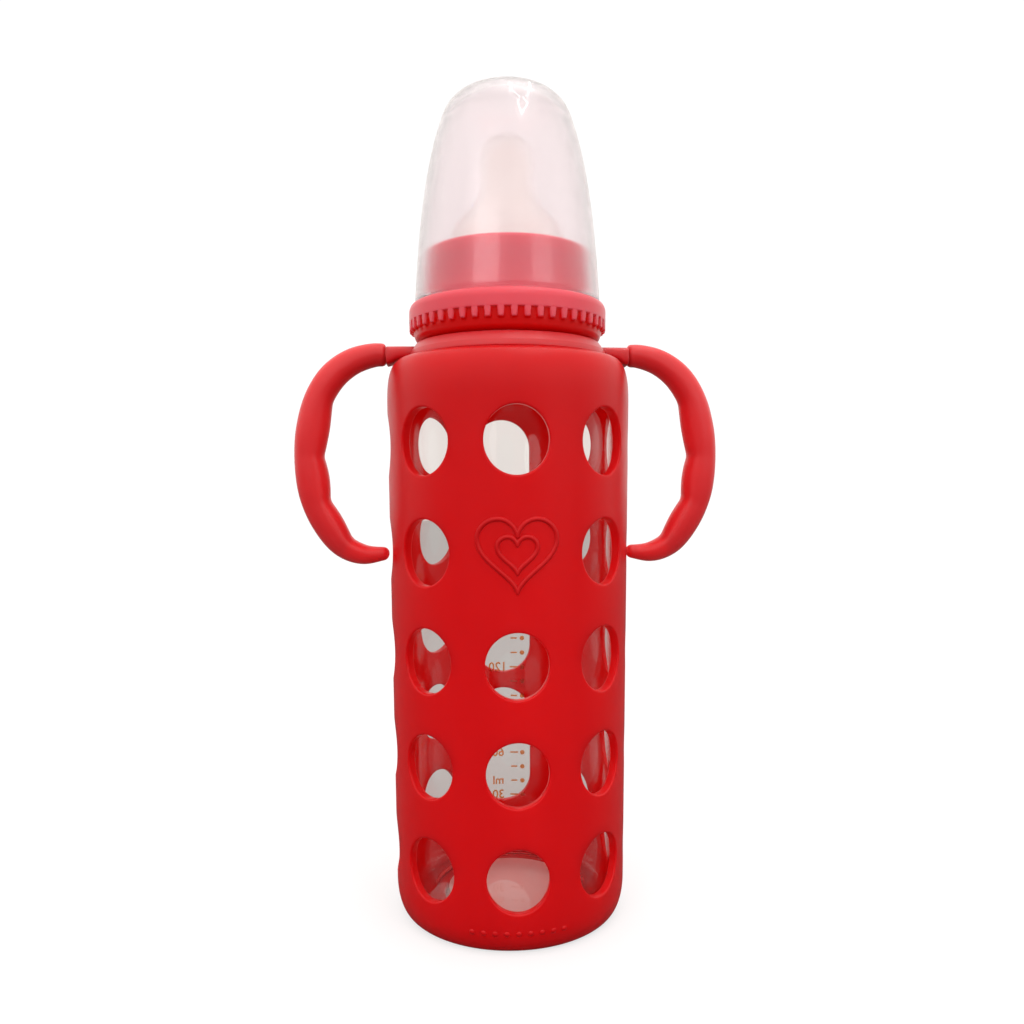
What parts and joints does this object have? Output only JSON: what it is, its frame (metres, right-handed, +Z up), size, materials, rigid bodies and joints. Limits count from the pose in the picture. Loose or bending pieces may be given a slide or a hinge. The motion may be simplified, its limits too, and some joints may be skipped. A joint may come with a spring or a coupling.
{
  "type": "baby bottle",
  "caption": "Straight glass baby bottle in a holed silicone sleeve, with a turning two-handled ring, a ribbed screw collar, a silicone nipple and a tall frosted dust cap.",
  "frame": {"origin": "on the resting plane, on the bottle's axis", "axes": "+Z up along the bottle's axis; -Y is the sleeve's front, with the badge; the handles lie along +X and -X"},
  "size_m": [0.1108, 0.0624, 0.2132],
  "materials": {
    "clear_glass": "gloss",
    "red_silicone": "satin",
    "coral_plastic": "satin",
    "soft_grip": "satin",
    "collar_plastic": "satin",
    "milky_silicone": "satin",
    "frosted_plastic": "satin",
    "scale_ink": "matte"
  },
  "bodies": {
    "bottle": {"glass_bottle": "clear_glass", "silicone_sleeve": "red_silicone"},
    "handles": {"handle_ring": "coral_plastic", "right_grip": "soft_grip", "left_grip": "soft_grip"},
    "nipple": {"nipple": "milky_silicone"},
    "collar": {"screw_collar": "collar_plastic"},
    "cap": {"dust_cap": "frosted_plastic"}
  },
  "joints": [
    {"name": "handle_turn", "type": "hinge", "parent": "bottle", "child": "handles", "pos_m": [0, 0, 0.148], "axis": [0, 0, 1], "continuous": true},
    {"name": "collar_lift", "type": "slide", "parent": "bottle", "child": "nipple", "axis": [0, 0, 1], "range_m": [0, 0.0061]},
    {"name": "collar_turn", "type": "hinge", "parent": "nipple", "child": "collar", "pos_m": [0, 0, 0.155], "axis": [0, 0, 1], "range_deg": [0, 540]},
    {"name": "cap_lift", "type": "slide", "parent": "collar", "child": "cap", "axis": [0, 0, 1], "range_m": [0, 0.05]}
  ],
  "couplings": [
    {"joint": "collar_lift", "follows": "collar_turn", "m_per_rad": 0.00063662}
  ]
}
